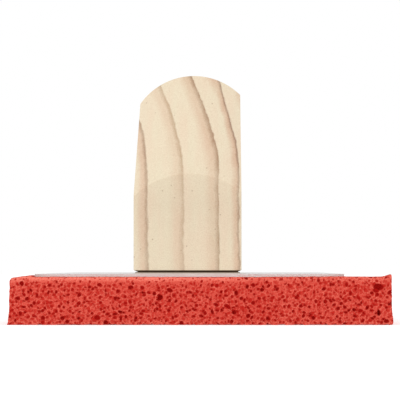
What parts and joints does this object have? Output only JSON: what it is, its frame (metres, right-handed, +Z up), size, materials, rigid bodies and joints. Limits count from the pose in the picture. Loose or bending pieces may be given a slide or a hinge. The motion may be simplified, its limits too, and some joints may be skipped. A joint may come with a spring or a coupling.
{
  "type": "sponge rubber float",
  "caption": "Hand float with a coarse sponge pad cemented under a thin metal plate and an arched wooden bridge handle, for wetting, smoothing and texturing mortar and plaster.",
  "frame": {"origin": "the middle of the pad's flat underside, which rests on the work", "axes": "+X across the float, +Y along its length and the handle's, +Z up out of the plate towards the handle; the end of the float that is seen faces -Y"},
  "size_m": [0.127, 0.305, 0.0904],
  "materials": {
    "sponge_rubber": "coarse open-cell sponge rubber, matt, cut faces",
    "contact_adhesive": "thin dried amber-brown cement",
    "aluminium_plate": "mill-finish sheet with fine rolling lines and light handling marks",
    "bedding_compound": "set dark grey-brown gritty compound, matt, smeared thin and pale against the plate",
    "pine_wood": "bare sanded pine, clear grain",
    "screw_steel": "zinc-plated"
  },
  "bodies": {
    "root": {"sponge_pad": "sponge_rubber", "adhesive_layer": "contact_adhesive", "backing_plate": "aluminium_plate", "foot_bedding": "bedding_compound", "handle": "pine_wood", "handle_screws": "screw_steel"}
  },
  "joints": []
}
